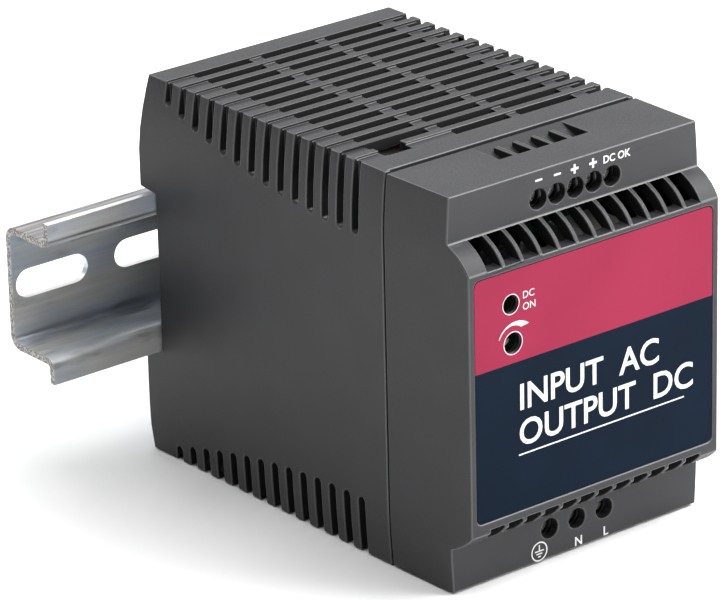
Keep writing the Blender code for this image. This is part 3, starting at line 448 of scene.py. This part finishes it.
def rooms(edges):
    """How far each sharp edge's rounding may reach: the way across its faces to the next sharp edge."""
    starts = np.array([e.verts[0].co for e in edges])
    ends = np.array([e.verts[1].co for e in edges])
    reach = np.full(len(edges), 1.0)
    for i, edge in enumerate(edges):
        middle = (starts[i] + ends[i]) / 2
        along = np.array((ends[i] - starts[i]) / np.linalg.norm(ends[i] - starts[i]))
        for face in edge.link_faces:
            normal = np.array(face.normal)
            across = np.cross(normal, along)
            if np.dot(np.array(face.calc_center_median()) - middle, across) < 0:
                across = -across
            first, last = starts - middle, ends - middle
            flat = (abs(first @ normal) < 2e-5) & (abs(last @ normal) < 2e-5)
            a, b = first @ along, last @ along
            crosses = flat & (a * b <= 0) & (abs(a - b) > 1e-9)
            crosses[i] = False
            share = a[crosses] / (a - b)[crosses]
            far = (first @ across)[crosses] * (1 - share) + (last @ across)[crosses] * share
            far = far[far > 1e-6]
            if len(far):
                reach[i] = min(reach[i], far.min() / 2)
    return reach


def soften(node, radius, materials):
    """Shows a CAD node with its edges rounded, each as far as the faces beside it leave room."""
    bm = whole_faces(node)
    layer = bm.edges.layers.float.new("bevel_weight_edge")
    sharp = [e for e in bm.edges if e.is_manifold and e.calc_face_angle(0.0) > math.radians(SHARP_ANGLE)]
    weights = np.minimum(1.0, ROOM_SHARE * rooms(sharp) / (radius * MM))
    least = {}
    for edge, weight in zip(sharp, weights):
        for vert in edge.verts:
            least[vert] = min(least.get(vert, 1.0), weight)
    for edge in sharp:
        edge[layer] = max(LEAST_WEIGHT, min(least[vert] for vert in edge.verts))
    slot = SLOT_OF[node]
    piece = add_object(f"{node}_skin", bm, materials[slot], SKIN_SMOOTH_ANGLE)
    rounding = piece.modifiers.new("rounding", "BEVEL")
    rounding.limit_method = "WEIGHT"
    rounding.width = radius * MM
    rounding.segments = ROUNDING_STEPS
    # The rounded faces get the lighter edge material: a painted highlight along the edges
    if slot in EDGE_HIGHLIGHT_MATERIALS:
        piece.data.materials.append(materials[EDGE_HIGHLIGHT_MATERIALS[slot]])
        rounding.material = 1
    rounding.use_clamp_overlap = False
    evened = piece.modifiers.new("evened", "WEIGHTED_NORMAL")
    evened.keep_sharp = True
    bpy.context.view_layer.update()
    rounded = bpy.data.meshes.new_from_object(piece.evaluated_get(bpy.context.evaluated_depsgraph_get()))
    piece.modifiers.clear()
    low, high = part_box(node)
    places = np.empty(3 * len(rounded.vertices), np.float32)
    rounded.vertices.foreach_get("co", places)
    rounded.vertices.foreach_set("co", np.clip(places.reshape(-1, 3), low, high).ravel())
    piece.data = rounded
    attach(piece, BODY_OF[node])
    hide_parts(node)


def show_spring(materials):
    """The latch's spring as its CAD shape, attached to the casing and not shortened as the latch is drawn out.
    """
    bm = bmesh.new()
    bm.from_mesh(NODES["latch_spring"].data)
    piece = add_object("latch_spring_coil", bm, materials["spring_steel"])
    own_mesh(piece)
    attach(piece, "casing")
    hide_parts("latch_spring")


def text_mesh(words, height, x, z, bold=0.0, align="LEFT"):
    """Lettering that stands upright in the XZ plane and faces the front, its cap height in millimetres."""
    curve = bpy.data.curves.new("words", "FONT")
    curve.body = words
    curve.size = height * MM / CAP_SHARE
    curve.offset = bold * MM
    curve.extrude = PRINT_THICKNESS * MM / 2
    curve.align_x = align
    curve.resolution_u = 4
    holder = bpy.data.objects.new("words", curve)
    bpy.context.scene.collection.objects.link(holder)
    mesh = bpy.data.meshes.new_from_object(holder.evaluated_get(bpy.context.evaluated_depsgraph_get()))
    bpy.data.objects.remove(holder)
    mesh.transform(Matrix.Translation((x * MM, 0.0, z * MM)) @ Matrix.Rotation(math.pi / 2, 4, "X"))
    return mesh


def flat_shape(bm, outline, hole=None):
    """A thin plate in the XZ plane from an outline in millimetres, with a hole of as many points or none."""
    half = PRINT_THICKNESS * MM / 2
    loops = []
    for points in (outline, hole) if hole else (outline,):
        for y in (-half, half):
            loops.append([bm.verts.new((px * MM, y, pz * MM)) for px, pz in points])
    count = len(outline)
    for i in range(count):
        j = (i + 1) % count
        bm.faces.new((loops[0][i], loops[0][j], loops[1][j], loops[1][i]))
        if hole:
            bm.faces.new((loops[2][j], loops[2][i], loops[3][i], loops[3][j]))
            bm.faces.new((loops[0][j], loops[0][i], loops[2][i], loops[2][j]))
            bm.faces.new((loops[1][i], loops[1][j], loops[3][j], loops[3][i]))
    if not hole:
        bm.faces.new(loops[0][::-1])
        bm.faces.new(loops[1])


def circle(x, z, radius, sides=40):
    return [(x + radius * math.cos(math.tau * i / sides), z + radius * math.sin(math.tau * i / sides))
            for i in range(sides)]


def bar(bm, x, z, width, height):
    flat_shape(bm, [(x - width / 2, z - height / 2), (x + width / 2, z - height / 2),
                    (x + width / 2, z + height / 2), (x - width / 2, z + height / 2)])


def plus(bm, x, z, size, stroke):
    a, b = size / 2, stroke / 2
    upper = [(a, b), (b, b), (b, a), (-b, a), (-b, b), (-a, b)]
    corners = upper + [(-px, -pz) for px, pz in upper]
    flat_shape(bm, [(x + px, z + pz) for px, pz in corners])


def turning_mark(bm, x, z, steps=24):
    """The mark for turning over the trimmer: a blade round its centre that widens to a tip on the right."""
    def edge(radii, angles):
        for i in range(steps + 1):
            share = i / steps
            angle = math.radians(angles[0] + (angles[1] - angles[0]) * share)
            radius = radii[0] + (radii[1] - radii[0]) * share ** 2
            yield x + radius * math.cos(angle), z + radius * math.sin(angle)
    outer = list(edge((3.9, 5.1), (157, 38)))
    inner = list(edge((3.72, 3.5), (157, 55)))
    flat_shape(bm, outer + inner[::-1])


def print_piece(name, bm, words, surface, material):
    """Joins marks and words into one printed piece that lies on a surface at depth surface, in metres."""
    for mesh in words:
        bm.from_mesh(mesh)
        bpy.data.meshes.remove(mesh)
    bmesh.ops.remove_doubles(bm, verts=bm.verts, dist=1e-7)
    bmesh.ops.recalc_face_normals(bm, faces=bm.faces)
    bmesh.ops.translate(bm, vec=(0.0, surface - PRINT_THICKNESS * MM / 2, 0.0), verts=bm.verts)
    piece = add_object(name, bm, material)
    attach(piece, "casing")


def centre_of(node):
    low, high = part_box(node)
    middle = (low + high) / 2
    return middle.x / MM, middle.z / MM


def print_label(materials):
    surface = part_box("front_label")[0].y
    bm = bmesh.new()
    led_x, led_z = centre_of("status_led")
    knob_x, knob_z = centre_of("trimmer_spindle")
    for x, z, inner in ((led_x, led_z, LED_HOLE), (knob_x, knob_z, TRIMMER_HOLE)):
        flat_shape(bm, circle(x, z, inner + RING_WIDTH), circle(x, z, inner))
    turning_mark(bm, knob_x, knob_z)
    bar(bm, *LABEL_RULE)
    words = [text_mesh(word, LAMP_LETTERS, led_x + LAMP_WORDS_AWAY, led_z + rise) for word, rise in LAMP_WORDS]
    words += [text_mesh(line, LABEL_LETTERS, LABEL_LEFT, z, LABEL_BOLD) for line, z in LABEL_LINES]
    print_piece("label_print", bm, words, surface, materials["white_print"])


def print_terminals(materials):
    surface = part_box("front_cover")[0].y + TERMINAL_FACE * MM
    bm = bmesh.new()
    for name in ("minus_1", "minus_2"):
        bar(bm, centre_of(f"{name}_screw")[0] + MINUS_SHIFT, SIGN_HEIGHT, MINUS_WIDTH, MINUS_STROKE)
    for name in ("plus_1", "plus_2"):
        plus(bm, centre_of(f"{name}_screw")[0] + PLUS_SHIFT, SIGN_HEIGHT, PLUS_SIZE, PLUS_STROKE)
    words = [text_mesh("DC OK", RELAY_LETTERS, *RELAY_PLACE, TERMINAL_BOLD)]
    print_piece("output_marks", bm, words, surface, materials["white_print"])

    bm = bmesh.new()
    x, z = centre_of("earth_screw")[0] + EARTH_SHIFT, EARTH_HEIGHT
    outer, inner = (circle(x, z, radius, EARTH_RING_SIDES) for radius in EARTH_RING)
    flat_shape(bm, outer, inner)
    bar(bm, x, z + EARTH_STEM[0], EARTH_STROKE, EARTH_STEM[1])
    for rise, width in EARTH_BARS:
        bar(bm, x, z + rise, width, EARTH_STROKE)
    words = [text_mesh(letter, INPUT_LETTERS, centre_of(f"{name}_screw")[0] + INPUT_SHIFT, INPUT_HEIGHT,
                       TERMINAL_BOLD, "CENTER")
             for letter, name in (("N", "neutral"), ("L", "line"))]
    print_piece("input_marks", bm, words, surface, materials["white_print"])


# ---------------------------------------------------------------- camera, floor and light


def make_camera():
    data = bpy.data.cameras.new("camera")
    data.lens = CAMERA_LENS
    data.sensor_width = SENSOR
    data.clip_start = NEAR_CLIP
    camera = bpy.data.objects.new("camera", data)
    bpy.context.scene.collection.objects.link(camera)
    look = (CAMERA_TARGET - CAMERA_PLACE).to_track_quat("-Z", "Y").to_matrix()
    turn = look @ Matrix.Rotation(CAMERA_ROLL, 3, "Z")
    camera.matrix_world = Matrix.Translation(CAMERA_PLACE) @ turn.to_4x4()
    bpy.context.scene.camera = camera


def area_light(name, direction, distance, size, power):
    data = bpy.data.lights.new(name, "AREA")
    data.shape = "RECTANGLE"
    data.size, data.size_y = size
    data.energy = power
    light = bpy.data.objects.new(name, data)
    bpy.context.scene.collection.objects.link(light)
    place = LIT_POINT + Vector(direction).normalized() * distance
    turn = (LIT_POINT - place).to_track_quat("-Z", "Y").to_matrix()
    light.matrix_world = Matrix.Translation(place) @ turn.to_4x4()


def make_studio():
    scene = bpy.context.scene
    world = bpy.data.worlds.new("studio")
    world.use_nodes = True
    world.node_tree.nodes["Background"].inputs["Color"].default_value = (1.0, 1.0, 1.0, 1.0)
    world.node_tree.nodes["Background"].inputs["Strength"].default_value = WORLD
    scene.world = world
    scene.view_settings.view_transform = "Standard"
    bm = bmesh.new()
    bmesh.ops.create_grid(bm, x_segments=1, y_segments=1, size=FLOOR_SIZE)
    paper = Shader("floor_paper", (0.96, 0.96, 0.96), 0.9, specular=0.1)
    floor = add_object("floor", bm, paper.material)
    floor.location = (0.0, 0.0, -FLOOR_DROP)
    for name, (direction, distance, size, power) in LIGHTS.items():
        area_light(name, direction, distance, size, power)


make_camera()
make_studio()
made = make_materials()
for node_name, node in NODES.items():
    node.data.materials.clear()
    node.data.materials.append(made["open_can" if node_name == OPEN_CAN_NODE else SLOT_OF[node_name]])
for node_name, edge_radius in EDGE_RADII.items():
    soften(node_name, edge_radius, made)
for node_name in sorted(NODES):
    for ending, edge_radius in ENDING_RADII.items():
        if node_name.endswith(ending):
            soften(node_name, edge_radius, made)
show_spring(made)
print_label(made)
print_terminals(made)
